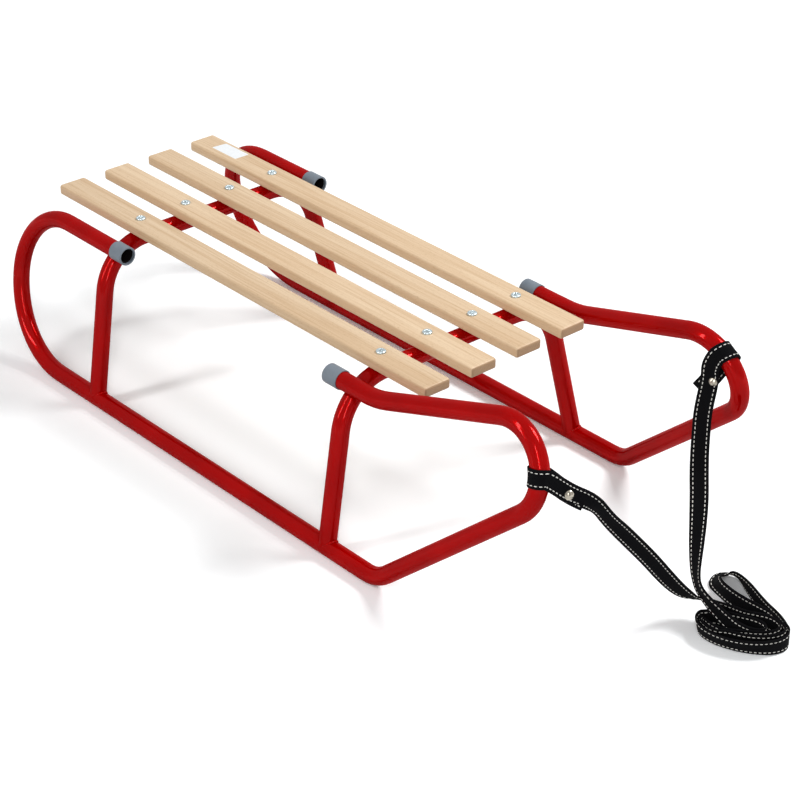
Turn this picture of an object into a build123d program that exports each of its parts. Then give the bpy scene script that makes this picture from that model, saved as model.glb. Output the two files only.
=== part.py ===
from build123d import *
import os
from math import acos, atan2, cos, degrees, radians, sin, sqrt, tan

# A towing sled: two bent steel tube runners, two tube bows between them, four wooden
# slats screwed to the bows and a webbing pull strap looped round both noses.
# Millimetres. +X is forwards, +Y is the rider's left, +Z is up and the floor is z = 0.
# Stations are distances forwards of the rearmost point of the runners' centre line,
# and heights "up the plane" are measured in a runner's leaning plane from its rail.

# --- tube ---
TUBE_R = 9.0
TUBE_WALL = 1.5
WELD_GAP = 0.25          # welded pieces stand this far apart, filled by the weld

# --- runners ---
RAIL_SPREAD = 330.0      # between the centre lines of the two rails on the ground
LEAN = 12.0              # degrees that each runner's plane leans inwards
REAR_LOWER_BEND = 91.0
REAR_UPPER_BEND = 76.0
RISE_STATION = 614.7     # corner where the rail turns up
RISE_BEND = 40.0
CHIN_STATION = 784.0     # lower corner of the nose
CHIN_HEIGHT = 148.5
CHIN_BEND = 40.0
BROW_STATION = 802.0     # upper corner of the nose
BROW_HEIGHT = 238.1
BROW_BEND = 45.5
KINK_STATION = 574.3     # where the top tube levels out
KINK_BEND = 100.0

# --- bows ---
BOW_STATIONS = {"rear": 147.0, "front": 531.0}   # of the crossbars
BOW_FOOT_AHEAD = {"rear": 14.0, "front": 10.4}   # of the feet, ahead of the crossbar
BOW_HEIGHT = 169.0       # crossbar centre line above the floor
BOW_BEND = 57.0

# --- slats ---
SLAT_COUNT = 4
SLAT_LENGTH = 591.0
SLAT_WIDTH = 32.5
SLAT_THICKNESS = 11.0
SLAT_SIDE_GAP = 17.5     # between the outer slats and the runners' ends, seen from above
SLAT_REAR_STATION = 20.0
SLAT_EDGE_ROUND = 2.6
SLAT_CORNER_ROUND = 3.0  # seen from above

# --- open end sleeves on the tube ends ---
SLEEVE_LENGTH = 19.5
SLEEVE_WALL = 0.9
SLEEVE_FIT = 0.15
SLEEVE_LIP = 3.0
SLEEVE_MOUTH_IN = 0.7    # the lip stands in from the tube's outside by this much
# covered end of each sleeve, from the bow's centre line; the tubes are cut by hand
SLEEVE_FROM_BOW = {
    ("rear", "right"): 15.0, ("rear", "left"): 9.7,
    ("front", "right"): 4.9, ("front", "left"): 10.9,
}

# --- pull strap: flat webbing on edge ---
STRAP_WIDTH = 20.0
STRAP_THICKNESS = 1.6
LOOP_SLACK = {"right": 1.3, "left": 2.6}        # round the tube; the left is more askew
LOOP_JOIN = 11.5         # plies meet this far from the tube
RIVET_REACH = {"right": 21.0, "left": 18.0}      # from the tube
LOOP_PAST_RIVET = 9.0    # sewn end of the loop
RIVET_SHANK_R = 1.5
RIVET_HEAD_R = 4.6
RIVET_HEAD_HEIGHT = 2.4
RIVET_BACK_HEIGHT = 0.8
RIVET_FIT = 0.1
LOOP_ANGLES = {"right": 10.0, "left": 49.0}      # round the brow bend from straight ahead
LOOP_PULL = {"right": (14.1, 15.7, -13.5), "left": (-1.8, -10.3, -24.8)}

# Routes of the two free lengths, from the loop's sewn end to the wound bundle
LEAD_ROUTES = {
    "right": [(420, -90, 153), (424, -73, 138), (428, -54, 115), (432, -34, 91),
              (437, -13, 62), (442, 6, 34), (448, 24, 16)],
    "left": [(377, 98, 152), (384, 90, 123), (391, 84, 92), (399, 78, 61),
             (409, 68, 34), (424, 53, 16), (442, 37, 12)],
}
BUNDLE_HEIGHT = 21.0
BUNDLE_CENTRE = (502.0, 40.0)
BUNDLE_RADII = (39.5, 34.5)
BUNDLE_LOOP = [(450.0, 67.0), (492.0, 58.0)]     # centre line of the turn that sticks out
BUNDLE_LOOP_WIDTH = 29.0
BUNDLE_NECK = [(452.0, 31.0), (492.0, 38.0)]     # where both leads come in
BUNDLE_NECK_WIDTH = 26.0
BUNDLE_EDGE_ROUND = 2.0

# --- what follows from them ---
SIDES = {"right": -1, "left": 1}
lean = radians(LEAN)
corner_height = (BOW_HEIGHT - TUBE_R) / cos(lean)
shoulder_start = corner_height - BOW_BEND / tan(radians((90 + LEAN) / 2))
# a runner's end lies on the shoulder of the bow, one tube diameter from its bend
END_HEIGHT = shoulder_start + sqrt((BOW_BEND + 2 * TUBE_R + WELD_GAP) ** 2 - BOW_BEND ** 2)
DECK_HALF_WIDTH = RAIL_SPREAD / 2 - END_HEIGHT * sin(lean) - TUBE_R - SLAT_SIDE_GAP
SLAT_PITCH = (2 * DECK_HALF_WIDTH - SLAT_WIDTH) / (SLAT_COUNT - 1)


def brow_centre():
    """Station and height of the centre of the nose's upper bend."""
    corner = Vector(BROW_STATION, BROW_HEIGHT)
    down = (Vector(CHIN_STATION, CHIN_HEIGHT) - corner).normalized()
    back = (Vector(KINK_STATION, END_HEIGHT) - corner).normalized()
    half = radians(down.get_angle(back)) / 2
    return corner + (down + back).normalized() * (BROW_BEND / sin(half))


# the origin is halfway between the rearmost and foremost points
MIDDLE_STATION = (brow_centre().X + BROW_BEND) / 2


def at(station):
    return station - MIDDLE_STATION


def runner_plane(side):
    """The leaning plane of a runner: local x forwards, local y up the plane."""
    return Plane(
        origin=(0, side * RAIL_SPREAD / 2, TUBE_R),
        x_dir=(1, 0, 0),
        z_dir=(0, -cos(lean), -side * sin(lean)),
    )


def on_runner(side, station, height):
    return runner_plane(side).from_local_coords(Vector(at(station), height, 0))


def sleeve_span(end, name):
    """Stations of a sleeve's covered end and its mouth, which faces the other end."""
    inwards = 1 if end == "rear" else -1
    start = BOW_STATIONS[end] + inwards * SLEEVE_FROM_BOW[end, name]
    return start, start + inwards * SLEEVE_LENGTH


def tube_end(end, name):
    """Station where the runner's tube stops, against the lip in its sleeve."""
    start, mouth = sleeve_span(end, name)
    return mouth - SLEEVE_LIP if end == "rear" else mouth + SLEEVE_LIP


def tube_along(path):
    section = Plane(origin=path @ 0, z_dir=path % 0) * (
        Circle(TUBE_R) - Circle(TUBE_R - TUBE_WALL)
    )
    return sweep(section, path=path)


def runner(name):
    side = SIDES[name]
    corners = [
        (tube_end("rear", name), END_HEIGHT),
        (0, END_HEIGHT),
        (0, 0),
        (RISE_STATION, 0),
        (CHIN_STATION, CHIN_HEIGHT),
        (BROW_STATION, BROW_HEIGHT),
        (KINK_STATION, END_HEIGHT),
        (tube_end("front", name), END_HEIGHT),
    ]
    bends = [REAR_UPPER_BEND, REAR_LOWER_BEND, RISE_BEND, CHIN_BEND, BROW_BEND, KINK_BEND]
    points = [on_runner(side, station, height) for station, height in corners]
    return tube_along(FilletPolyline(*points, radius=bends))


def bow(end):
    """A U of tube, its open ends cut to sit on the round of both rails."""
    top = at(BOW_STATIONS[end])
    foot = top + BOW_FOOT_AHEAD[end]
    half_top = RAIL_SPREAD / 2 - (BOW_HEIGHT - TUBE_R) * tan(lean)
    path = FilletPolyline(
        (foot, -RAIL_SPREAD / 2, TUBE_R),
        (top, -half_top, BOW_HEIGHT),
        (top, half_top, BOW_HEIGHT),
        (foot, RAIL_SPREAD / 2, TUBE_R),
        radius=BOW_BEND,
    )
    body = tube_along(path)
    for side in SIDES.values():
        rail = Plane(origin=(foot, side * RAIL_SPREAD / 2, TUBE_R), z_dir=(1, 0, 0))
        body -= rail * Cylinder(TUBE_R + WELD_GAP, 6 * TUBE_R)
    return body


def slat(number):
    board = Box(SLAT_LENGTH, SLAT_WIDTH, SLAT_THICKNESS)
    board = fillet(board.edges().filter_by(Axis.Z), SLAT_CORNER_ROUND)
    board = fillet(board.faces().filter_by(Axis.Z).edges(), SLAT_EDGE_ROUND)
    offset = (number - (SLAT_COUNT + 1) / 2) * SLAT_PITCH
    return board.moved(
        Location(
            (
                at(SLAT_REAR_STATION + SLAT_LENGTH / 2),
                offset,
                BOW_HEIGHT + TUBE_R + SLAT_THICKNESS / 2,
            )
        )
    )


def end_sleeve(end, name):
    """A plain open ferrule: the tube's end sits inside it against a thin lip."""
    start, mouth = sleeve_span(end, name)
    axis = runner_plane(SIDES[name])
    mouth_r = TUBE_R - SLEEVE_MOUTH_IN
    outwards = (1, 0, 0) if mouth > start else (-1, 0, 0)
    foot = Plane(origin=axis.from_local_coords(Vector(at(start), END_HEIGHT, 0)), z_dir=outwards)
    fit_r = TUBE_R + SLEEVE_FIT
    profile = Polyline(
        (fit_r, 0),
        (fit_r + SLEEVE_WALL, 0),
        (fit_r + SLEEVE_WALL, SLEEVE_LENGTH),
        (mouth_r, SLEEVE_LENGTH),
        (mouth_r, SLEEVE_LENGTH - SLEEVE_LIP),
        (fit_r, SLEEVE_LENGTH - SLEEVE_LIP),
        close=True,
    )
    ring = revolve(Plane.XZ * make_face(profile), Axis.Z)
    rims = ring.edges().filter_by(GeomType.CIRCLE)
    outer = [e for e in rims if e.radius > fit_r + SLEEVE_WALL / 2]
    ring = fillet(outer, SLEEVE_WALL / 2)
    return foot * ring


def loop_frame(name):
    """Local x runs from the tube's centre along the pull, local z across the webbing.

    Also returns, in local coordinates, the tube's direction there and the direction
    towards the centre of its bend.
    """
    side = SIDES[name]
    plane = runner_plane(side)
    angle = radians(LOOP_ANGLES[name])
    centre = brow_centre()
    outwards = plane.x_dir * cos(angle) + plane.y_dir * sin(angle)
    origin = on_runner(side, centre.X, centre.Y) + outwards * BROW_BEND
    tube_dir = plane.x_dir * -sin(angle) + plane.y_dir * cos(angle)
    pull = Vector(*LOOP_PULL[name]).normalized()
    across = (tube_dir - pull * tube_dir.dot(pull)).normalized()
    frame = Plane(origin=origin, x_dir=pull, z_dir=across)
    return frame, to_local(frame, tube_dir), to_local(frame, -outwards)


def to_local(frame, direction):
    return Vector(*(direction.dot(axis) for axis in (frame.x_dir, frame.y_dir, frame.z_dir)))


def rivet_reach(name):
    """From the tube's centre, along the pull."""
    return TUBE_R + RIVET_REACH[name]


def loop_end(name):
    return rivet_reach(name) + LOOP_PAST_RIVET


def teardrop(centres, radius, tip):
    """The convex outline round equal circles and a tip."""
    circles = [Pos(centre) * Circle(radius) for centre in centres]
    return make_hull(ShapeList(edge for shape in [*circles, tip] for edge in shape.edges()))


def strap_loop(name):
    """Webbing wound askew round the nose: two plies that meet, and a flat sewn end."""
    frame, tube_dir, bend_dir = loop_frame(name)
    half_width = STRAP_WIDTH / 2 / tube_dir.Z
    # cut aslant the tube is longer, the more so where it bends towards the band's edges
    stretch = TUBE_R / cos(acos(tube_dir.Z) + half_width / BROW_BEND) - TUBE_R
    sag = (bend_dir - tube_dir * (bend_dir.Z / tube_dir.Z)) * (half_width ** 2 / 2 / BROW_BEND)
    centres = [Vector(x, 0, 0) + shift for x in (-stretch, stretch) for shift in (Vector(), sag)]
    inner_r = TUBE_R + LOOP_SLACK[name]
    meet = TUBE_R + LOOP_JOIN
    throat = Pos(meet - 2 * STRAP_THICKNESS, 0) * Circle(0.2)
    join = Pos(meet, 0) * Rectangle(0.4, 2 * STRAP_THICKNESS)
    ring = teardrop(centres, inner_r + STRAP_THICKNESS, join) - teardrop(centres, inner_r, throat)
    plies = 2 * (loop_end(name) - meet)
    ring += Pos(meet + plies / 2, 0) * Rectangle(plies, 2 * STRAP_THICKNESS)
    band = extrude(ring, half_width, dir=tube_dir, both=True)
    beyond = Pos(loop_end(name) + plies, 0, 0) * Box(2 * plies, 2 * STRAP_WIDTH, 4 * STRAP_WIDTH)
    hole = Cylinder(RIVET_SHANK_R + RIVET_FIT, STRAP_WIDTH)
    hole = Pos(rivet_reach(name), 0, 0) * Rot(90, 0, 0) * hole
    return frame * (band - beyond - hole)


def strap_rivet(name):
    """Domed head outside, flat disc inside, shank through both plies."""
    frame, _, _ = loop_frame(name)
    seat = STRAP_THICKNESS + RIVET_FIT
    shank = Cylinder(RIVET_SHANK_R, 2 * seat)
    disc = Pos(0, 0, -seat - RIVET_BACK_HEIGHT / 2) * Cylinder(RIVET_HEAD_R, RIVET_BACK_HEIGHT)
    dome_r = (RIVET_HEAD_R ** 2 + RIVET_HEAD_HEIGHT ** 2) / (2 * RIVET_HEAD_HEIGHT)
    dome = Pos(0, 0, seat + RIVET_HEAD_HEIGHT - dome_r) * Sphere(dome_r)
    dome &= Pos(0, 0, seat + RIVET_HEAD_HEIGHT / 2) * Cylinder(2 * RIVET_HEAD_R, RIVET_HEAD_HEIGHT)
    rivet = shank + disc + dome
    outside = 90 if name == "right" else -90
    return frame * (Pos(rivet_reach(name), 0, 0) * (Rot(outside, 0, 0) * rivet))


def lead_path(name):
    """Straight runs joined by tangent arcs, each arc as large as its two runs allow."""
    frame, _, _ = loop_frame(name)
    start = frame.from_local_coords(Vector(loop_end(name), 0, 0))
    points = [start] + [Vector(*p) for p in LEAD_ROUTES[name]]
    radii = []
    for before, here, after in zip(points, points[1:], points[2:]):
        turn = radians((here - before).get_angle(after - here))
        shorter = min((here - before).length, (after - here).length)
        radii.append(0.45 * shorter / tan(turn / 2))
    print(f"strap_lead_{name} radii", [round(r) for r in radii])
    return FilletPolyline(*points, radius=radii)


def bundle():
    """Outer shape of the loosely wound strap that lies on its edge on the floor."""
    outline = Sketch() + Pos(*BUNDLE_CENTRE) * Ellipse(*BUNDLE_RADII)
    lobes = [(BUNDLE_LOOP, BUNDLE_LOOP_WIDTH), (BUNDLE_NECK, BUNDLE_NECK_WIDTH)]
    for (tip, root), width in lobes:
        tip, root = Vector(*tip), Vector(*root)
        turn = degrees(atan2(root.Y - tip.Y, root.X - tip.X))
        lobe = Location((tip + root) * 0.5, (0, 0, turn)) * SlotCenterToCenter(
            (root - tip).length, width
        )
        outline += lobe
    body = extrude(outline, BUNDLE_HEIGHT)
    return fillet(body.faces().sort_by(Axis.Z)[-1].edges(), BUNDLE_EDGE_ROUND)


def strap_lead(name, loop, wound):
    path = lead_path(name)
    across = loop_frame(name)[0].z_dir
    section = Plane(origin=path @ 0, x_dir=across - (path % 0) * across.dot(path % 0), z_dir=path % 0)
    strip = sweep(section * Rectangle(STRAP_WIDTH, STRAP_THICKNESS), path=path)
    section_volume = STRAP_WIDTH * STRAP_THICKNESS * path.length
    print(f"strap_lead_{name} length {path.length:.1f}", f"volume / swept {strip.volume / section_volume:.4f}")
    return strip - loop - wound


def build():
    parts = {}
    for name in SIDES:
        parts[f"runner_{name}"] = runner(name)
        for end in BOW_STATIONS:
            parts[f"end_sleeve_{end}_{name}"] = end_sleeve(end, name)
        parts[f"strap_loop_{name}"] = strap_loop(name)
        parts[f"strap_rivet_{name}"] = strap_rivet(name)
    for end in BOW_STATIONS:
        parts[f"bow_{end}"] = bow(end)
    for number in range(1, SLAT_COUNT + 1):
        parts[f"slat_{number}"] = slat(number)
    wound = bundle()
    parts["strap_bundle"] = wound
    for name in SIDES:
        parts[f"strap_lead_{name}"] = strap_lead(name, parts[f"strap_loop_{name}"], wound)
    return parts


os.makedirs("parts", exist_ok=True)
for node, shape in build().items():
    shape.label = node
    export_step(shape, f"parts/{node}.step")
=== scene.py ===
import math

import bpy
import numpy as np
from mathutils import Matrix, Vector


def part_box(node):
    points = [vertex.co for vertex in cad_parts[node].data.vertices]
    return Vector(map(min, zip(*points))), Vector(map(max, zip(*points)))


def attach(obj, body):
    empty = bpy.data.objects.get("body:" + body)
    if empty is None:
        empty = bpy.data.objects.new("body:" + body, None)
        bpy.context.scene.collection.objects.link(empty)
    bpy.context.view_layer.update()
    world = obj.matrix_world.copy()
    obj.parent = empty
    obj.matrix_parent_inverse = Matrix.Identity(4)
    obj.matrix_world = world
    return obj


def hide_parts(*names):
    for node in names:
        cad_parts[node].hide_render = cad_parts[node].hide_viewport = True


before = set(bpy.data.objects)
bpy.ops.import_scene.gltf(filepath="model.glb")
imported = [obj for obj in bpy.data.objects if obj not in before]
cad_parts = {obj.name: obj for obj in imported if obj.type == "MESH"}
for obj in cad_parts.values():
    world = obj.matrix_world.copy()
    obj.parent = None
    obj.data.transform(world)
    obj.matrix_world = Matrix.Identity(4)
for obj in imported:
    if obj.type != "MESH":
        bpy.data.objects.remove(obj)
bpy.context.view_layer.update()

# A towing sled: red enamelled tube, beech slats, grey end sleeves and a webbing pull strap.
# Metres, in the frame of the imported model. +X is forwards, +Y the rider's left, +Z up.

MM = 0.001
SIDES = {"right": -1, "left": 1}
AHEAD = np.array([1.0, 0.0, 0.0])
UPRIGHT = (0.0, 0.0, 1.0)

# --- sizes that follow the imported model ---
TUBE_R = 9.0 * MM
LEAN = math.radians(12.0)            # of the runners' planes
RAIL_HALF_SPREAD = 165.0 * MM
NOSE_BEND_R = 45.5 * MM
NOSE_ANGLES = {"right": math.radians(10.0), "left": math.radians(49.0)}   # where the loops sit
STRAP_WIDTH = 18.0 * MM              # the seen webbing; the model has 20
STRAP_THICKNESS = 1.6 * MM
BOW_X = {"rear": -232.87 * MM, "front": 147.53 * MM}
CROSSBAR_X = {"rear": -246.87 * MM, "front": 137.13 * MM}
SLAT_Y = (-87.6 * MM, -29.2 * MM, 29.2 * MM, 87.6 * MM)
SLAT_TOP = 189.0 * MM
END_Y = 130.37 * MM                  # axis of the runners' upper ends
END_Z = 171.91 * MM


def unit(vectors):
    """One vector, or each row of several, at length 1."""
    vectors = np.asarray(vectors, float)
    return vectors / np.linalg.norm(vectors, axis=-1, keepdims=True)


def runner_up(side):
    """The upward direction in a runner's leaning plane."""
    return np.array([0.0, -SIDES[side] * math.sin(LEAN), math.cos(LEAN)])


# ---------------------------------------------------------------- camera
CAMERA_TARGET = (0.0652, -0.0004, 0.0730)
CAMERA_DISTANCE = 2.4058
CAMERA_AZIMUTH = math.radians(48.7)
CAMERA_ELEVATION = math.radians(29.81)
CAMERA_ROLL = math.radians(0.168)
CAMERA_LENS_MM = 107.68


def direction(azimuth, elevation):
    """Unit vector from the object towards a viewer; azimuth 0 is at -Y, elevation is up."""
    level = math.cos(elevation)
    return Vector((level * math.sin(azimuth), -level * math.cos(azimuth), math.sin(elevation)))


VIEWER = np.array(direction(CAMERA_AZIMUTH, CAMERA_ELEVATION))


def make_camera():
    away = direction(CAMERA_AZIMUTH, CAMERA_ELEVATION)
    camera = bpy.data.objects.new("camera", bpy.data.cameras.new("camera"))
    bpy.context.scene.collection.objects.link(camera)
    turn = (-away).to_track_quat("-Z", "Y").to_matrix().to_4x4()
    place = Matrix.Translation(Vector(CAMERA_TARGET) + away * CAMERA_DISTANCE)
    camera.matrix_world = place @ turn @ Matrix.Rotation(CAMERA_ROLL, 4, "Z")
    camera.data.lens = CAMERA_LENS_MM
    camera.data.sensor_width = 36.0
    camera.data.clip_end = 50.0
    bpy.context.scene.camera = camera


# ---------------------------------------------------------------- mesh and node helpers
def mesh_piece(name, verts, faces, material, slot, smooth=True, uvs=None):
    """A new piece on the sled's one body."""
    mesh = bpy.data.meshes.new(name)
    mesh.from_pydata([tuple(map(float, v)) for v in verts], [], [tuple(map(int, f)) for f in faces])
    mesh.validate()
    mesh.materials.append(material)
    mesh.polygons.foreach_set("use_smooth", [smooth] * len(mesh.polygons))
    if uvs is not None:
        layer = mesh.uv_layers.new(name="along_across")
        corner = np.zeros(len(mesh.loops), np.int32)
        mesh.loops.foreach_get("vertex_index", corner)
        layer.data.foreach_set("uv", np.asarray(uvs, np.float32)[corner].ravel())
    piece = bpy.data.objects.new(name, mesh)
    bpy.context.scene.collection.objects.link(piece)
    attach(piece, "root")
    return piece


def joined(parts):
    """One vertex list and face list from several (verts, faces)."""
    verts, faces = [], []
    for part_verts, part_faces in parts:
        first = len(verts)
        verts += [tuple(v) for v in part_verts]
        faces += [tuple(i + first for i in face) for face in part_faces]
    return verts, faces


def tube_grid(rings, closed_ends=True, closed_loop=False):
    """Faces over rings of equal vertex counts; each ring is a closed outline."""
    count, size = len(rings), len(rings[0])
    verts = [v for ring in rings for v in ring]
    faces = []
    for i in range(count if closed_loop else count - 1):
        a, b = i * size, (i + 1) % count * size
        faces += [(a + j, a + (j + 1) % size, b + (j + 1) % size, b + j) for j in range(size)]
    if closed_ends and not closed_loop:
        faces.append(tuple(range(size))[::-1])
        faces.append(tuple((count - 1) * size + j for j in range(size)))
    return verts, faces


def new_material(name, colour, roughness, metallic=0.0, specular=0.5):
    made = bpy.data.materials.new(name)
    made.use_nodes = True
    shader = made.node_tree.nodes["Principled BSDF"]
    shader.inputs["Base Color"].default_value = (*colour, 1.0)
    shader.inputs["Roughness"].default_value = roughness
    shader.inputs["Metallic"].default_value = metallic
    shader.inputs["Specular IOR Level"].default_value = specular
    return made, made.node_tree, shader


def add(tree, kind, settings=None, **inputs):
    """A node; an input that is given a socket is linked, and another value is set."""
    node = tree.nodes.new("ShaderNode" + kind)
    for name, value in (settings or {}).items():
        setattr(node, name, value)
    for name, value in inputs.items():
        socket = node.inputs[int(name[1:]) if name[0] == "_" else name.replace("_", " ")]
        if isinstance(value, bpy.types.NodeSocket):
            tree.links.new(value, socket)
        else:
            socket.default_value = value
    return node


def object_place(tree, scale=(1.0, 1.0, 1.0)):
    """The point on the piece, in metres times scale."""
    coords = add(tree, "TexCoord").outputs["Object"]
    return add(tree, "Mapping", Vector=coords, Scale=scale).outputs["Vector"]


def noise(tree, place, scale, detail=2.0, roughness=0.5, distortion=0.0):
    made = add(tree, "TexNoise", Vector=place, Scale=scale, Detail=detail, Roughness=roughness,
               Distortion=distortion)
    return made.outputs["Fac"]


def maths(tree, operation, first, second=0.0):
    return add(tree, "Math", {"operation": operation}, _0=first, _1=second).outputs[0]


def remap(tree, value, low, high, to_low=0.0, to_high=1.0):
    made = add(tree, "MapRange", Value=value)
    for name, number in (("From Min", low), ("From Max", high),
                         ("To Min", to_low), ("To Max", to_high)):
        made.inputs[name].default_value = number
    return made.outputs["Result"]


def blend(tree, share, first, second):
    """Colour between first and second."""
    made = add(tree, "Mix", {"data_type": "RGBA"}, _0=share)
    for index, value in ((6, first), (7, second)):
        if isinstance(value, bpy.types.NodeSocket):
            tree.links.new(value, made.inputs[index])
        else:
            made.inputs[index].default_value = (*value, 1.0)
    return made.outputs[2]


def bump(tree, shader, height, distance, strength=1.0, below=None):
    made = add(tree, "Bump", Height=height, Distance=distance, Strength=strength)
    if below is not None:
        tree.links.new(below, made.inputs["Normal"])
    tree.links.new(made.outputs["Normal"], shader.inputs["Normal"])
    return made.outputs["Normal"]


def seen_plainly(tree):
    """1 for rays from the camera, from a reflection and through something clear."""
    path = add(tree, "LightPath")
    seen = maths(tree, "MAXIMUM", path.outputs["Is Camera Ray"], path.outputs["Is Glossy Ray"])
    return maths(tree, "MAXIMUM", seen, path.outputs["Is Transmission Ray"])


def vary(tree, shader, value, tones, roughness=None):
    """Lets the colour, and if wanted the roughness, follow a noise's value."""
    tree.links.new(blend(tree, remap(tree, value, 0.3, 0.7), *tones), shader.inputs["Base Color"])
    if roughness:
        tree.links.new(remap(tree, value, 0.3, 0.7, *roughness), shader.inputs["Roughness"])


# ---------------------------------------------------------------- materials
UPPER_ENDS_X = (-0.30, 0.155)        # the open ends lie between these
# radius from the end's axis within which the bore's painted shade lies
BORE_SHADE_R = TUBE_R - 0.5 * MM


def painted_bore_shade(tree):
    """1 on the tube's inner wall at the runners' open ends, where near black is painted in as the
    bore's shade.
    """
    place = add(tree, "SeparateXYZ", Vector=add(tree, "TexCoord").outputs["Object"])
    across = maths(tree, "SUBTRACT", maths(tree, "ABSOLUTE", place.outputs["Y"]), END_Y)
    above = maths(tree, "SUBTRACT", place.outputs["Z"], END_Z)
    off = maths(tree, "SQRT", maths(tree, "ADD", maths(tree, "MULTIPLY", across, across),
                                    maths(tree, "MULTIPLY", above, above)))
    narrow = maths(tree, "LESS_THAN", off, BORE_SHADE_R)
    fore = maths(tree, "GREATER_THAN", place.outputs["X"], UPPER_ENDS_X[0])
    aft = maths(tree, "LESS_THAN", place.outputs["X"], UPPER_ENDS_X[1])
    return maths(tree, "MULTIPLY", narrow, maths(tree, "MULTIPLY", fore, aft))


def red_enamel():
    """Stoved enamel: deep glossy red, slightly uneven."""
    made, tree, shader = new_material("red_enamel", (0.34, 0.0, 0.0), 0.2, metallic=0.25, specular=0.0)
    shader.inputs["Specular Tint"].default_value = (1.0, 0.02, 0.02, 1.0)
    shader.inputs["Coat Weight"].default_value = 0.13
    shader.inputs["Coat Roughness"].default_value = 0.05
    place = object_place(tree)
    patches = noise(tree, place, 22.0, 2.0)
    tone = blend(tree, remap(tree, patches, 0.35, 0.65), (0.31, 0.0, 0.0), (0.37, 0.0, 0.0))
    inside = painted_bore_shade(tree)
    # painted shade: the bores of the open ends are coloured near black
    tree.links.new(blend(tree, inside, tone, (0.012, 0.010, 0.010)), shader.inputs["Base Color"])
    film = noise(tree, place, 160.0, 2.0)
    tree.links.new(remap(tree, film, 0.3, 0.7, 0.16, 0.22), shader.inputs["Roughness"])
    peel = bump(tree, shader, noise(tree, place, 420.0, 1.0), 0.00002, 0.3)
    bump(tree, shader, noise(tree, place, 60.0, 1.0), 0.00015, 0.25, below=peel)
    return made


def beech():
    """Planed and lacquered beech: fine straight grain, short flecks, open end grain."""
    made, tree, shader = new_material("beech", (0.68, 0.50, 0.31), 0.5, specular=0.3)
    board = add(tree, "ObjectInfo").outputs["Random"]
    shifted = add(tree, "VectorMath", {"operation": "ADD"}, _0=object_place(tree),
                  _1=add(tree, "CombineXYZ", X=board, Y=board, Z=board).outputs[0]).outputs[0]

    def grain(scale):
        return add(tree, "Mapping", Vector=shifted, Scale=scale).outputs["Vector"]

    bands = noise(tree, grain((2.5, 55.0, 55.0)), 1.0, 3.0, 0.6, 0.4)
    streaks = noise(tree, grain((9.0, 520.0, 520.0)), 1.0, 3.0, 0.6)
    flecks = noise(tree, grain((260.0, 1900.0, 1900.0)), 1.0, 2.0)
    pale, mid, dark = (0.690, 0.525, 0.352), (0.600, 0.425, 0.262), (0.460, 0.295, 0.160)
    wood = blend(tree, remap(tree, bands, 0.36, 0.66), pale, mid)
    wood = blend(tree, remap(tree, streaks, 0.46, 0.74, 0.0, 0.62), wood, dark)
    wood = blend(tree, remap(tree, flecks, 0.60, 0.72, 0.0, 0.55), wood, (0.36, 0.21, 0.10))
    tint = remap(tree, board, 0.0, 1.0, 0.94, 1.04)
    wood = add(tree, "VectorMath", {"operation": "SCALE"}, _0=wood, Scale=tint).outputs[0]
    # the cut ends show pores and arched rings
    facing = add(tree, "SeparateXYZ", Vector=add(tree, "NewGeometry").outputs["Normal"])
    is_end = remap(tree, maths(tree, "ABSOLUTE", facing.outputs["X"]), 0.6, 0.85)
    rings = add(tree, "TexWave", {"wave_type": "RINGS", "rings_direction": "X"},
                Vector=grain((0.0, 60.0, 60.0)), Scale=5.0, Distortion=1.5).outputs["Fac"]
    pores = noise(tree, grain((0.0, 2600.0, 2600.0)), 1.0, 1.0)
    cut = blend(tree, remap(tree, rings, 0.2, 0.9), (0.35, 0.215, 0.120), (0.46, 0.305, 0.180))
    cut = blend(tree, remap(tree, pores, 0.55, 0.70, 0.0, 0.6), cut, (0.22, 0.125, 0.06))
    # painted shade: the long sides are coloured a darker brown the more they face sideways
    painted_side_shade = remap(tree, maths(tree, "ABSOLUTE", facing.outputs["Y"]), 0.6, 0.9, 0.0, 0.35)
    wood = blend(tree, painted_side_shade, wood, (0.56, 0.37, 0.20))
    tree.links.new(blend(tree, is_end, wood, cut), shader.inputs["Base Color"])
    tree.links.new(remap(tree, streaks, 0.3, 0.8, 0.40, 0.60), shader.inputs["Roughness"])
    bump(tree, shader, streaks, 0.0001, 0.5)
    return made


def grey_plastic():
    made, tree, shader = new_material("grey_plastic", (0.145, 0.175, 0.21), 0.45, specular=0.4)
    place = object_place(tree)
    tone = noise(tree, place, 70.0, 2.0)
    vary(tree, shader, tone, ((0.130, 0.160, 0.195), (0.165, 0.195, 0.230)), (0.36, 0.52))
    bump(tree, shader, noise(tree, place, 2200.0, 2.0), 0.00008, 0.5)
    return made


def zinc():
    made, tree, shader = new_material("zinc", (0.46, 0.53, 0.55), 0.34, metallic=1.0)
    place = object_place(tree)
    spangle = noise(tree, place, 900.0, 3.0)
    vary(tree, shader, spangle, ((0.34, 0.41, 0.44), (0.58, 0.65, 0.67)), (0.22, 0.40))
    bump(tree, shader, noise(tree, place, 3000.0, 2.0), 0.00003, 0.5)
    return made


def rivet_steel():
    made, tree, shader = new_material("rivet_steel", (0.50, 0.45, 0.36), 0.22, metallic=1.0)
    place = object_place(tree)
    wear = noise(tree, place, 300.0, 2.0)
    vary(tree, shader, wear, ((0.20, 0.18, 0.15), (0.44, 0.40, 0.33)), (0.10, 0.24))
    bump(tree, shader, noise(tree, place, 1800.0, 2.0), 0.00002, 0.5)
    return made


WEAVE_ROW = 1.0 * MM
WEAVE_PITCH = 1.7 * MM


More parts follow.
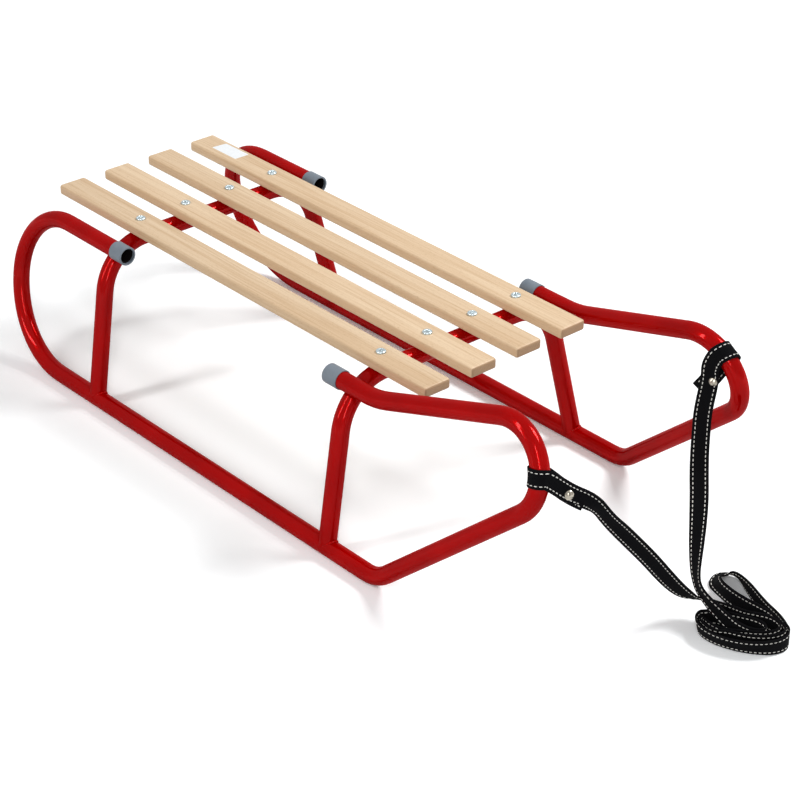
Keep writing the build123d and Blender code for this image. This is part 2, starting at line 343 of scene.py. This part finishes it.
def webbing():
    """Black polypropylene tape in a plain weave, drawn along and across the strap."""
    made, tree, shader = new_material("webbing", (0.004, 0.006, 0.007), 0.8, specular=0.02)
    shader.inputs["Sheen Weight"].default_value = 0.01
    uv = add(tree, "SeparateXYZ", Vector=add(tree, "UVMap", {"uv_map": "along_across"}).outputs[0])
    row = maths(tree, "DIVIDE", uv.outputs["Y"], WEAVE_ROW)
    half_turn = maths(tree, "MULTIPLY", maths(tree, "FLOOR", row), math.pi)
    along = maths(tree, "MULTIPLY", uv.outputs["X"], 2 * math.pi / WEAVE_PITCH)
    yarn = maths(tree, "SINE", maths(tree, "ADD", along, half_turn))
    across = maths(tree, "SINE", maths(tree, "MULTIPLY", maths(tree, "FRACT", row), math.pi))
    height = maths(tree, "MULTIPLY", remap(tree, yarn, -1.0, 1.0, 0.25, 1.0), across)
    place = object_place(tree)
    fluff = noise(tree, place, 1500.0, 3.0)
    # painted shade: the weave's low places are coloured darker and its crowns lighter, by the height
    tone = blend(tree, height, (0.002, 0.002, 0.0024), (0.008, 0.008, 0.0095))
    tone = blend(tree, remap(tree, fluff, 0.45, 0.8, 0.0, 0.35), tone, (0.011, 0.011, 0.013))
    tree.links.new(tone, shader.inputs["Base Color"])
    tree.links.new(remap(tree, fluff, 0.3, 0.7, 0.70, 0.92), shader.inputs["Roughness"])
    bump(tree, shader, height, 0.00030, 0.8)
    return made


def stitch_thread():
    made, tree, shader = new_material("stitch_thread", (0.78, 0.77, 0.72), 0.7, specular=0.3)
    place = object_place(tree)
    twist = noise(tree, place, 2500.0, 2.0)
    vary(tree, shader, twist, ((0.62, 0.61, 0.56), (0.86, 0.85, 0.80)))
    bump(tree, shader, twist, 0.00008, 0.6)
    return made


def label_paper():
    made, tree, shader = new_material("label_paper", (0.80, 0.82, 0.84), 0.5, specular=0.3)
    fibres = noise(tree, object_place(tree), 600.0, 3.0)
    vary(tree, shader, fibres, ((0.76, 0.79, 0.82), (0.84, 0.86, 0.87)))
    bump(tree, shader, fibres, 0.00004, 0.4)
    return made


def lit_floor():
    """White to the camera and to reflections, and still darkened by the object's shadow."""
    made, tree, shader = new_material("floor", (0.5, 0.5, 0.5), 0.9, specular=0.0)
    shaded = add(tree, "BsdfDiffuse", Color=(*FLOOR_SHADE, 1.0))
    away = add(tree, "VectorMath", {"operation": "LENGTH"}, _0=object_place(tree)).outputs["Value"]
    glow = add(tree, "Emission", Color=(1.0, 1.0, 1.0, 1.0),
               Strength=remap(tree, away, *FLOOR_WHITENS, FLOOR_GLOW, 1.0))
    bright = add(tree, "AddShader", _0=shaded.outputs[0], _1=glow.outputs[0])
    mixed = add(tree, "MixShader", _0=seen_plainly(tree), _1=shader.outputs[0], _2=bright.outputs[0])
    tree.links.new(mixed.outputs[0], tree.nodes["Material Output"].inputs["Surface"])
    return made


# ---------------------------------------------------------------- the pull strap
# One length of webbing: its sewn end under the right rivet, round the right nose, down to
# the floor, wound up there, up to the left nose, round it and under the left rivet.
# A station is a point of the middle line and the direction of the webbing's upper edge.
RIGHT_LEAD = [
    ((0.4150, -0.0940, 0.1605), (0.26, 0.58, 0.76)), ((0.4175, -0.0845, 0.1525), (0.50, 0.52, 0.68)),
    ((0.4195, -0.0765, 0.1435), (0.84, 0.33, 0.47)), ((0.4220, -0.0680, 0.1310), (0.78, 0.40, 0.48)),
    ((0.4245, -0.0575, 0.1180), (0.63, 0.52, 0.57)), ((0.4290, -0.0420, 0.0985), (0.59, 0.55, 0.58)),
    ((0.4340, -0.0240, 0.0755), (0.62, 0.57, 0.55)), ((0.4385, -0.0080, 0.0530), (0.66, 0.54, 0.53)),
    ((0.4420, 0.0045, 0.0370), (0.74, 0.42, 0.52)), ((0.4460, 0.0140, 0.0270), (0.82, 0.25, 0.51)),
    ((0.4510, 0.0210, 0.0235), (0.91, 0.06, 0.40)),
]
LEFT_LEAD = [
    ((0.3745, 0.1020, 0.1570), (0.90, 0.42, 0.0)), ((0.3790, 0.0965, 0.1370), (0.89, 0.45, 0.06)),
    ((0.3830, 0.0920, 0.1190), (0.86, 0.48, 0.10)), ((0.3890, 0.0865, 0.1010), (0.78, 0.61, 0.10)),
    ((0.3990, 0.0775, 0.0840), (0.78, 0.60, 0.15)), ((0.4110, 0.0645, 0.0690), (0.84, 0.42, 0.32)),
    ((0.4240, 0.0495, 0.0555), (0.80, 0.24, 0.55)), ((0.4380, 0.0340, 0.0450), (0.62, 0.08, 0.78)),
    ((0.4480, 0.0250, 0.0390), (0.43, -0.08, 0.90)), ((0.4570, 0.0195, 0.0350), (0.32, -0.22, 0.92)),
]
BACK_PLY = [
    ((0.4655, 0.0205, 0.0091), UPRIGHT), ((0.4700, 0.0270, 0.0091), UPRIGHT),
    ((0.4790, 0.0320, 0.0091), UPRIGHT), ((0.4900, 0.0380, 0.0091), UPRIGHT),
    ((0.5020, 0.0440, 0.0091), UPRIGHT), ((0.5130, 0.0460, 0.0091), UPRIGHT),
    ((0.5205, 0.0420, 0.0091), UPRIGHT), ((0.5190, 0.0350, 0.0091), UPRIGHT),
]
DIAGONAL = [
    ((0.5110, 0.0295, 0.0091), UPRIGHT), ((0.5010, 0.0255, 0.0110), UPRIGHT),
    ((0.4900, 0.0235, 0.0150), UPRIGHT), ((0.4790, 0.0210, 0.0220), (0.05, -0.12, 0.99)),
    ((0.4680, 0.0185, 0.0295), (0.20, -0.22, 0.95)),
]
# The right lead lies flat over the rim and goes down into the back of the winding
ENTRY = [
    ((0.4580, 0.0245, 0.0240), (0.80, -0.20, 0.45)), ((0.4650, 0.0285, 0.0235), (0.55, -0.45, 0.60)),
    ((0.4720, 0.0340, 0.0185), (0.25, -0.30, 0.90)), ((0.4795, 0.0400, 0.0120), UPRIGHT),
    ((0.4880, 0.0460, 0.0091), UPRIGHT), ((0.4980, 0.0515, 0.0091), UPRIGHT),
]
# The turn that sticks out of the winding: out, round and back
HAIRPIN = [
    ((0.5080, 0.0635, 0.0091), UPRIGHT), ((0.4960, 0.0625, 0.0091), (0.0, 0.15, 0.99)),
    ((0.4840, 0.0618, 0.0091), (0.0, 0.15, 0.99)), ((0.4720, 0.0615, 0.0091), (0.0, 0.15, 0.99)),
    ((0.4620, 0.0620, 0.0091), (0.0, 0.15, 0.99)), ((0.4530, 0.0635, 0.0091), (0.0, 0.15, 0.99)),
    ((0.4440, 0.0658, 0.0091), (0.0, 0.10, 1.0)), ((0.4350, 0.0697, 0.0087), (0.10, 0.28, 0.95)),
    ((0.4285, 0.0755, 0.0072), (0.50, 0.50, 0.68)), ((0.4260, 0.0815, 0.0065), (0.82, 0.28, 0.48)),
    ((0.4255, 0.0870, 0.0065), (0.90, -0.15, 0.40)), ((0.4275, 0.0930, 0.0065), (0.62, -0.60, 0.46)),
    ((0.4340, 0.0958, 0.0066), (0.05, -0.74, 0.64)), ((0.4430, 0.0930, 0.0082), (-0.15, -0.38, 0.90)),
    ((0.4545, 0.0883, 0.0090), (-0.06, -0.18, 0.98)), ((0.4680, 0.0826, 0.0091), (0.0, -0.05, 1.0)),
    ((0.4810, 0.0768, 0.0091), UPRIGHT), ((0.4950, 0.0715, 0.0091), UPRIGHT),
    ((0.5090, 0.0680, 0.0091), UPRIGHT), ((0.5215, 0.0632, 0.0091), UPRIGHT),
    ((0.5300, 0.0585, 0.0091), UPRIGHT),
]
# Where the webbing turns back on itself at the winding's left end
OUT_AND_UP = (0.0, -0.33, 0.94)
LEFT_FOLD = [
    ((0.4990, 0.0165, 0.0091), OUT_AND_UP), ((0.4890, 0.0120, 0.0091), OUT_AND_UP),
    ((0.4790, 0.0120, 0.0091), OUT_AND_UP), ((0.4710, 0.0140, 0.0091), OUT_AND_UP),
    ((0.4680, 0.0110, 0.0091), OUT_AND_UP), ((0.4740, 0.0080, 0.0091), OUT_AND_UP),
    ((0.4840, 0.0056, 0.0091), OUT_AND_UP), ((0.4930, 0.0080, 0.0091), OUT_AND_UP),
]
# Turns of the winding: ellipses, long axis turned from +X towards +Y; halves in millimetres
COIL_AXIS = math.radians(28.5)
COIL_STEP = math.radians(24.0)
COIL_CENTRE = (0.5014, 0.0308)
OUTER = (41.9, 24.8)
MIDDLE = (36.0, 18.5)
INNER = (29.0, 15.5)
COIL_HEIGHT = 0.00912
COIL_LEAN_START = math.radians(20.0)
BAND_R = TUBE_R + STRAP_THICKNESS / 2 + 0.2 * MM    # the webbing's middle round a nose
NOSE_CLEARANCE = 0.15 * MM
PLY_OFFSET = STRAP_THICKNESS / 2 - 0.15 * MM        # of each ply from a rivet's middle
LOOP_STEPS = 10
LEFT_BEND_SHARE = 0.55                              # of the way from the left rivet to the tube
LEFT_BEND_ASIDE = 3.3 * MM


def fuller(step_angle):
    """How far out, for a radius of 1, control points that many radians apart have to lie."""
    return 1 / (1 - 0.25 * (1 - math.cos(step_angle)))


def nose_point(side):
    """The tube's centre under a loop, the tube's direction there and the bend's centre."""
    _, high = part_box(f"runner_{side}")
    up = runner_up(side)
    rise = (high[2] - 2 * TUBE_R) / math.cos(LEAN) - NOSE_BEND_R
    foot = np.array([high[0] - TUBE_R - NOSE_BEND_R, SIDES[side] * RAIL_HALF_SPREAD, TUBE_R])
    centre = foot + up * rise
    angle = NOSE_ANGLES[side]
    outwards = AHEAD * math.cos(angle) + up * math.sin(angle)
    along = up * math.cos(angle) - AHEAD * math.sin(angle)
    return centre + outwards * NOSE_BEND_R, along, centre


LOOPS = {
    # leave: degrees round the tube at which the seen and the hidden ply leave it
    # start, slide: how far along the tube the seen ply lies, and the hidden ply moves on
    # off_rivet, tail_off: the plies' offsets across the rivet; tail_reach: the free end
    # tail_turn: degrees between the plies; the lengths are in millimetres
    "right": {"leave": (58.0, 60.0), "start": 1.4, "slide": 0.0, "off_rivet": 1.4,
              "tail_off": 0.0, "tail_reach": 20.0, "tail_turn": -7.0},
    "left": {"leave": (60.0, 60.0), "start": 3.0, "slide": -8.0, "off_rivet": -3.3,
             "tail_off": -3.7, "tail_reach": 14.4, "tail_turn": -24.0},
}


def rivet_centre(side):
    low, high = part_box(f"strap_rivet_{side}")
    return (np.array(low) + np.array(high)) / 2


def loop_route(side, next_point):
    """Stations from the seen ply at the rivet, round the nose and on to the strap's end."""
    shape = LOOPS[side]
    centre, along, _ = nose_point(side)
    rivet = rivet_centre(side)
    pull = rivet - centre
    pull = unit(pull - along * (pull @ along))
    round_to = np.cross(along, pull)
    if round_to @ VIEWER < 0:
        round_to = -round_to
    onwards = unit(np.array(next_point) - rivet)
    face = unit(round_to - onwards * (round_to @ onwards))
    upper = np.cross(face, onwards)
    hint = along if side == "right" else -along
    if upper @ hint < 0:
        upper = -upper
    stations = [(rivet + face * PLY_OFFSET + upper * shape["off_rivet"] * MM, upper)]
    first, last = shape["leave"]
    swing = math.radians(360 - first - last)
    radius = BAND_R * fuller(swing / LOOP_STEPS)
    for step in range(LOOP_STEPS + 1):
        share = step / LOOP_STEPS
        angle = math.radians(first) + swing * share
        eased = share * share * (3 - 2 * share)
        place = centre + along * (shape["start"] + shape["slide"] * eased) * MM
        place = place + pull * radius * math.cos(angle) + round_to * radius * math.sin(angle)
        stations.append((place, hint))
    if side == "left":      # this ply bends edgewise between the tube and its rivet
        aside = unit(np.cross(VIEWER, UPRIGHT))
        bent = stations[0][0] * (1 - LEFT_BEND_SHARE) + stations[1][0] * LEFT_BEND_SHARE
        stations.insert(1, (bent + aside * LEFT_BEND_ASIDE, unit(upper + hint)))
    turn = math.radians(shape["tail_turn"])
    tail = onwards * math.cos(turn) + upper * math.sin(turn)
    tail_upper = upper * math.cos(turn) - onwards * math.sin(turn)
    under = rivet - face * PLY_OFFSET + upper * shape["tail_off"] * MM
    stations.append((under, tail_upper))
    stations.append((under + tail * shape["tail_reach"] * MM, tail_upper))
    return stations


def coil_turn(start, end, halves, left=0.0, lean=0.0):
    """Stations round an ellipse between two angles in degrees, drawn at its true size.

    The ellipse lies left of the winding's middle by that many millimetres, and its near
    side leans outwards by up to that many degrees.
    """
    steps = max(1, round(abs(start - end) / math.degrees(COIL_STEP)))
    grow = fuller(math.radians(abs(start - end) / steps))
    middle = np.array([COIL_CENTRE[0], COIL_CENTRE[1] + left * MM, COIL_HEIGHT])
    stations = []
    for step in range(steps + 1):
        angle = math.radians(start + (end - start) * step / steps)
        u = halves[0] * MM * grow * math.cos(angle)
        v = halves[1] * MM * grow * math.sin(angle)
        spot = np.array([u * math.cos(COIL_AXIS) - v * math.sin(COIL_AXIS),
                         u * math.sin(COIL_AXIS) + v * math.cos(COIL_AXIS), 0.0])
        tilt = math.radians(lean) * max(0.0, math.sin(-angle - COIL_LEAN_START))
        edge = unit(spot) * math.sin(tilt) + np.array(UPRIGHT) * math.cos(tilt)
        stations.append((spot + middle, edge))
    return stations


def coil_route():
    """From the right lead's entry through all turns to the way out."""
    inside = coil_turn(60.0, -85.0, INNER, left=7.7, lean=10.0)
    folded = coil_turn(-110.0, 40.0, MIDDLE, left=4.2, lean=15.0)
    outer = coil_turn(12.0, -192.0, OUTER, lean=25.0)
    return ENTRY + inside + LEFT_FOLD + folded + HAIRPIN + outer + BACK_PLY + DIAGONAL


def strap_stations():
    right = loop_route("right", RIGHT_LEAD[0][0])[::-1]
    left = loop_route("left", LEFT_LEAD[0][0])
    return right + RIGHT_LEAD + coil_route() + LEFT_LEAD[::-1] + left


def nurbs_line(name, points):
    """Points along a smooth spline that has these control points."""
    curve = bpy.data.curves.new(name, "CURVE")
    curve.dimensions = "3D"
    curve.resolution_u = 12
    spline = curve.splines.new("NURBS")
    spline.points.add(len(points) - 1)
    spline.points.foreach_set("co", [value for p in points for value in (*p, 1.0)])
    spline.order_u = 3
    spline.use_endpoint_u = True
    holder = bpy.data.objects.new(name, curve)
    mesh = bpy.data.meshes.new_from_object(holder)
    line = np.array([v.co for v in mesh.vertices], float)
    bpy.data.meshes.remove(mesh)
    bpy.data.objects.remove(holder)
    bpy.data.curves.remove(curve)
    return line


def spaced(lines, step):
    """Several lines that run together, again with points step apart along the first."""
    gone = np.linalg.norm(np.diff(lines[0], axis=0), axis=1)
    along = np.concatenate([[0.0], np.cumsum(gone)])
    at = np.linspace(0.0, along[-1], round(along[-1] / step) + 1)
    return [np.stack([np.interp(at, along, line[:, k]) for k in range(3)], axis=1) for line in lines]


RING_STEP = 1.5 * MM
EDGE_SIDES = 5          # rings' points round each thin edge
FACE_SIDES = 9          # and across each face


def band_outline():
    """Outline of the webbing's section: (across, through) with thin round edges."""
    half, thin = STRAP_WIDTH / 2, STRAP_THICKNESS / 2
    flat = half - thin
    top = [(flat * (1 - 2 * i / (FACE_SIDES - 1)), thin) for i in range(FACE_SIDES)]
    outline = []
    for sign in (1, -1):
        outline += [(sign * x, sign * z) for x, z in top]
        for i in range(1, EDGE_SIDES - 1):
            angle = math.pi / 2 + math.pi * i / (EDGE_SIDES - 1)
            outline.append((sign * (-flat + thin * math.cos(angle)), sign * thin * math.sin(angle)))
    return outline


def clear_of_noses(points, depths):
    """Moves points out of the noses' tubes; depths are outwards from the webbing's middle."""
    for side in SIDES:
        _, _, bend = nose_point(side)
        up = runner_up(side)
        sideways = np.cross(AHEAD, up)
        away = points - bend
        x, y, z = away @ AHEAD, away @ up, away @ sideways
        flat = np.maximum(np.hypot(x, y), 1e-9)
        off = flat - NOSE_BEND_R
        far = np.maximum(np.hypot(off, z), 1e-9)
        wanted = TUBE_R + NOSE_CLEARANCE + STRAP_THICKNESS / 2 + depths
        grow = np.where(far < wanted, wanted / far, 1.0)
        new_flat, new_z = NOSE_BEND_R + off * grow, z * grow
        moved = (bend + np.outer(x / flat * new_flat, AHEAD)
                 + np.outer(y / flat * new_flat, up) + np.outer(new_z, sideways))
        near = (grow > 1.0) & (flat > 0.5 * NOSE_BEND_R)
        points = np.where(near[:, None], moved, points)
    return points


class Strap:
    """The webbing's middle line with its across and through directions."""

    def __init__(self):
        stations = strap_stations()
        middle = nurbs_line("strap_line", [p for p, _ in stations])
        edge = nurbs_line("strap_edge", [p + unit(a) * STRAP_WIDTH for p, a in stations])
        self.line, edge = spaced([middle, edge], RING_STEP)
        tangent = unit(np.gradient(self.line, axis=0))
        across = edge - self.line
        self.across = unit(across - tangent * (across * tangent).sum(1, keepdims=True))
        self.through = np.cross(tangent, self.across)
        self.run = np.linspace(0.0, RING_STEP * (len(self.line) - 1), len(self.line))

    def at(self, run, across, through):
        """Points beside the middle line, at that run along it."""
        pick = [np.interp(run, self.run, values[:, k]) for values in
                (self.line, self.across, self.through) for k in range(3)]
        line, side, out = (np.stack(pick[i:i + 3], axis=1) for i in (0, 3, 6))
        return line + unit(side) * across[:, None] + unit(out) * through[:, None]


def settle(strap, run, points, through):
    """Lets the webbing lie on the tubes: its inner face stays just clear of them."""
    for side in SIDES:
        centre, along, _ = nose_point(side)
        middle = strap.at(run, np.zeros(len(run)), np.zeros(len(run)))
        outwards = middle - centre
        near = np.linalg.norm(outwards, axis=1) < 3 * TUBE_R
        outwards -= np.outer(outwards @ along, along)
        facing = np.stack([np.interp(run, strap.run, strap.through[:, k]) for k in range(3)], axis=1)
        sign = np.sign((facing * outwards).sum(1))
        moved = clear_of_noses(points, through * sign)
        points = np.where(near[:, None], moved, points)
    return points


def strap_piece(strap, material):
    outline = np.array(band_outline())
    count = len(outline)
    rings = len(strap.line)
    run = np.repeat(strap.run, count)
    across = np.tile(outline[:, 0], rings)
    through = np.tile(outline[:, 1], rings)
    points = settle(strap, run, strap.at(run, across, through), through)
    verts, faces = tube_grid([list(ring) for ring in points.reshape(rings, count, 3)])
    uvs = np.stack([run, across + STRAP_WIDTH], axis=1)
    return mesh_piece("pull_strap", verts, faces, material, "webbing", uvs=uvs)


STITCH_PITCH = 4.3 * MM
STITCH_LENGTH = 2.6 * MM
STITCH_WIDTH = 0.95 * MM
STITCH_HEIGHT = 0.35 * MM
STITCH_INSET = 3.2 * MM


def stitches(strap, material):
    """Dashes of thread near both edges, on both faces."""
    shares = (-0.5, -0.36, 0.0, 0.36, 0.5)          # of a dash's length
    widths = (0.25, 0.85, 1.0, 0.85, 0.25)
    sides = 8
    _, dash_faces = tube_grid([[None] * sides] * len(shares))
    angles = 2 * np.pi * np.arange(sides) / sides
    run, across, through, faces = [], [], [], []
    first = 0
    for middle in np.arange(STITCH_PITCH, strap.run[-1] - STITCH_PITCH, STITCH_PITCH):
        for edge in (1, -1):
            for face in (1, -1):
                for share, width in zip(shares, widths):
                    run += [middle + share * STITCH_LENGTH] * sides
                    across += list(edge * (STRAP_WIDTH / 2 - STITCH_INSET)
                                   + np.cos(angles) * width * STITCH_WIDTH / 2)
                    through += list(face * STRAP_THICKNESS / 2
                                    + np.sin(angles) * width * STITCH_HEIGHT)
                faces += [tuple(i + first for i in f) for f in dash_faces]
                first += sides * len(shares)
    run, across, through = np.array(run), np.array(across), np.array(through)
    points = settle(strap, run, strap.at(run, across, through), through)
    return mesh_piece("strap_stitching", points, faces, material, "webbing")


# ---------------------------------------------------------------- screws, welds, label
SCREW_R = 5.0 * MM
SCREW_HEIGHT = 2.6 * MM
RECESS_HALF_WIDTH = 0.7 * MM
RECESS_REACH = 2.6 * MM
RECESS_DEPTH = 1.6 * MM
RECESS_SLOPE = 0.22 * MM             # width of the recess's sloping sides
DOME_DROP = 0.22                     # of the height, from the middle to the rim
RIM_DROP = 0.25                      # of the height, close to the rim
FIRST_TURN = 1.48                    # radians; each head is turned on from the one before
NEXT_TURN = 1.13
SCREW_SUNK = 0.02 * MM               # how far a head's rim reaches into the slat


def screw_head(centre, turn):
    """A pan head with a cross recess, standing on centre."""
    around, rings = 72, 18
    c, s = math.cos(turn), math.sin(turn)
    verts, faces = [], []
    for ring in range(rings + 1):
        share = ring / rings
        radius = SCREW_R * share
        for step in range(around):
            angle = 2 * math.pi * step / around
            x, y = radius * math.cos(angle), radius * math.sin(angle)
            height = SCREW_HEIGHT * (1 - DOME_DROP * share ** 2 - RIM_DROP * share ** 12)
            arm = min(max(abs(x) - RECESS_HALF_WIDTH, 0) + max(abs(y) - RECESS_REACH, 0),
                      max(abs(y) - RECESS_HALF_WIDTH, 0) + max(abs(x) - RECESS_REACH, 0))
            height -= RECESS_DEPTH * max(0.0, 1.0 - arm / RECESS_SLOPE)
            verts.append((centre[0] + x * c - y * s, centre[1] + x * s + y * c, centre[2] + height))
    for step in range(around):
        angle = 2 * math.pi * step / around + turn
        verts.append((centre[0] + SCREW_R * math.cos(angle), centre[1] + SCREW_R * math.sin(angle),
                      centre[2]))
    for ring in range(rings + 1):
        a, b = ring * around, (ring + 1) * around
        faces += [(a + i, b + i, b + (i + 1) % around, a + (i + 1) % around) for i in range(around)]
    return verts, faces


def screws(material):
    """The heads of the eight screws that hold the slats on the crossbars."""
    heads = []
    for x in CROSSBAR_X.values():
        for y in SLAT_Y:
            turn = FIRST_TURN + NEXT_TURN * len(heads)
            heads.append(screw_head((x, y, SLAT_TOP - SCREW_SUNK), turn))
    return mesh_piece("slat_screws", *joined(heads), material, None)


WELD_R = 1.5 * MM
WELD_RIPPLE = 0.25 * MM
WELD_PITCH = 2.2 * MM
WELD_SWELL = 0.15 * MM               # a slow, uneven change of the bead's radius
WELD_SWELL_RATE = 17.0 / 6.0         # radians of that change per ripple
FOOT_OFF = 0.4 * MM                  # from the tubes' surface to the bead's middle
FOOT_SQUEEZE = 0.77                  # keeps the beads at the feet within the rails' width
FOOT_SADDLE = 0.012                  # rounds the two lowest places of a bead
SHOULDER_AWAY = (0.6055, 0.7959)     # outwards and up, from the bow's tube to the runner's
SHOULDER_TOUCH = (124.85 * MM, 164.6 * MM)      # off the middle and up
SHOULDER_RING_R = 5.6 * MM
FOOT_STEPS = 120
SHOULDER_STEPS = 90


def bead(points):
    """A rippled bead of weld along a closed line."""
    points = np.array(points)
    count, sides = len(points), 10
    ahead = unit(np.roll(points, -1, axis=0) - np.roll(points, 1, axis=0))
    run = np.cumsum(np.linalg.norm(points - np.roll(points, 1, axis=0), axis=1))
    outwards = points - points.mean(axis=0)
    outwards = unit(outwards - ahead * (outwards * ahead).sum(1, keepdims=True))
    upwards = np.cross(ahead, outwards)
    angles = 2 * np.pi * np.arange(sides) / sides
    rings = []
    for i in range(count):
        size = WELD_R + WELD_RIPPLE * math.sin(2 * math.pi * run[i] / WELD_PITCH)
        size += WELD_SWELL * math.sin(WELD_SWELL_RATE * run[i] / WELD_PITCH)
        rings.append([tuple(points[i] + size * (math.cos(a) * outwards[i] + math.sin(a) * upwards[i]))
                      for a in angles])
    return tube_grid(rings, closed_loop=True)


def foot_line(bow, side):
    """Where a bow's leg stands on its rail, a little outside both tubes."""
    up = runner_up(side)
    across = np.cross(up, AHEAD)
    foot = np.array([BOW_X[bow], SIDES[side] * RAIL_HALF_SPREAD, TUBE_R])
    reach = TUBE_R + FOOT_OFF
    line = []
    for step in range(FOOT_STEPS):
        angle = 2 * math.pi * step / FOOT_STEPS
        level = AHEAD * math.cos(angle) + across * FOOT_SQUEEZE * math.sin(angle)
        rise = up * math.sqrt(math.cos(angle) ** 2 + FOOT_SADDLE)
        line.append(foot + reach * (level + rise))
    return line


def shoulder_line(bow, side):
    """Round the place where a runner's end crosses a bow's shoulder."""
    sign = SIDES[side]
    away = np.array([0.0, sign * SHOULDER_AWAY[0], SHOULDER_AWAY[1]])
    third = np.cross(away, AHEAD)
    touch = np.array([BOW_X[bow], sign * SHOULDER_TOUCH[0], SHOULDER_TOUCH[1]])
    angles = [2 * math.pi * step / SHOULDER_STEPS for step in range(SHOULDER_STEPS)]
    return [touch + SHOULDER_RING_R * (AHEAD * math.cos(a) + third * math.sin(a)) for a in angles]


def welds(material):
    beads = []
    for bow in BOW_X:
        for side in SIDES:
            beads.append(bead(foot_line(bow, side)))
            beads.append(bead(shoulder_line(bow, side)))
    return mesh_piece("weld_beads", *joined(beads), material, "red_paint")


LABEL_CORNERS = [(-344.7, 80.6), (-303.2, 80.7), (-302.6, 99.2), (-342.8, 98.7)]    # millimetres
LABEL_HEIGHTS = (0.02 * MM, 0.15 * MM)          # of its two faces above the slat
LABEL_ROUNDING = 1.5 * MM
ROUNDING_STEPS = 5


def blank_label(material):
    """A plain white sticker on slat_4."""
    corners = [np.array(c) * MM for c in LABEL_CORNERS]
    outline = []
    for i, corner in enumerate(corners):
        before = unit(corners[i - 1] - corner) * LABEL_ROUNDING
        after = unit(corners[(i + 1) % 4] - corner) * LABEL_ROUNDING
        for step in range(ROUNDING_STEPS + 1):
            share = step / ROUNDING_STEPS
            outline.append(corner + before * (1 - share) ** 2 + after * share ** 2)
    rings = [[(*p, SLAT_TOP + z) for p in outline] for z in LABEL_HEIGHTS]
    verts, faces = tube_grid(rings)
    return mesh_piece("blank_label", verts, faces, material, None, smooth=False)


# ---------------------------------------------------------------- the stage
FLOOR_SHADE = (1.078, 1.10, 1.111)
FLOOR_GLOW = 0.05
FLOOR_HALF = 8.0
FLOOR_DROP = 0.3 * MM
FLOOR_WHITENS = (0.9, 2.6)           # metres from the origin: the glow grows, is full
WORLD_LEVEL = 0.25
LAMP_TARGET = (0.05, 0.0, 0.1)
# name, direction from the target, metres away, the lamp's two sides in metres, watts
LAMPS = [
    ("top", (0.45, 0.85, 1.1), 3.3, (1.1, 1.1), 88.0),
    ("left_strip", (-0.27, -0.79, 0.56), 3.6, (0.45, 2.7), 54.0),
    ("right_strip", tuple(VIEWER), 3.6, (0.45, 2.4), 46.0),
]


def make_floor():
    corners = [(-FLOOR_HALF, -FLOOR_HALF, 0.0), (FLOOR_HALF, -FLOOR_HALF, 0.0),
               (FLOOR_HALF, FLOOR_HALF, 0.0), (-FLOOR_HALF, FLOOR_HALF, 0.0)]
    mesh = bpy.data.meshes.new("floor")
    mesh.from_pydata(corners, [], [(0, 1, 2, 3)])
    mesh.materials.append(lit_floor())
    floor = bpy.data.objects.new("floor", mesh)
    floor.location.z = -FLOOR_DROP
    bpy.context.scene.collection.objects.link(floor)


def area_lamp(name, towards, distance, size, watts):
    lamp = bpy.data.lights.new(name, "AREA")
    lamp.shape = "RECTANGLE"
    lamp.size, lamp.size_y = size
    lamp.energy = watts
    holder = bpy.data.objects.new(name, lamp)
    holder.location = Vector(LAMP_TARGET) + Vector(towards).normalized() * distance
    holder.rotation_euler = (-Vector(towards)).to_track_quat("-Z", "Y").to_euler()
    bpy.context.scene.collection.objects.link(holder)


def make_lights():
    world = bpy.data.worlds.new("studio")
    bpy.context.scene.world = world
    world.use_nodes = True
    tree = world.node_tree
    background = tree.nodes["Background"]
    background.inputs["Color"].default_value = (1.0, 1.0, 1.0, 1.0)
    strength = remap(tree, seen_plainly(tree), 0.0, 1.0, WORLD_LEVEL, 1.0)
    tree.links.new(strength, background.inputs["Strength"])
    for lamp in LAMPS:
        area_lamp(*lamp)


# ---------------------------------------------------------------- build
def dress(name, material):
    """Gives a CAD node its finish."""
    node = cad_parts[name]
    node.data.materials.clear()
    node.data.materials.append(material)


def main():
    bpy.context.scene.view_settings.view_transform = "Standard"
    make_camera()
    red, wood, plastic = red_enamel(), beech(), grey_plastic()
    steel, tape, thread = rivet_steel(), webbing(), stitch_thread()
    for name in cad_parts:
        if name.startswith(("runner", "bow")):
            dress(name, red)
        elif name.startswith("slat"):
            dress(name, wood)
        elif name.startswith("end_sleeve"):
            dress(name, plastic)
        elif name.startswith("strap_rivet"):
            dress(name, steel)
        else:
            dress(name, tape)
    strap = Strap()
    piece = strap_piece(strap, tape)
    sewing = stitches(strap, thread)
    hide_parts("strap_loop_right", "strap_loop_left", "strap_lead_right",
                "strap_lead_left", "strap_bundle")
    screws(zinc())
    welds(red)
    blank_label(label_paper())
    make_floor()
    make_lights()


main()
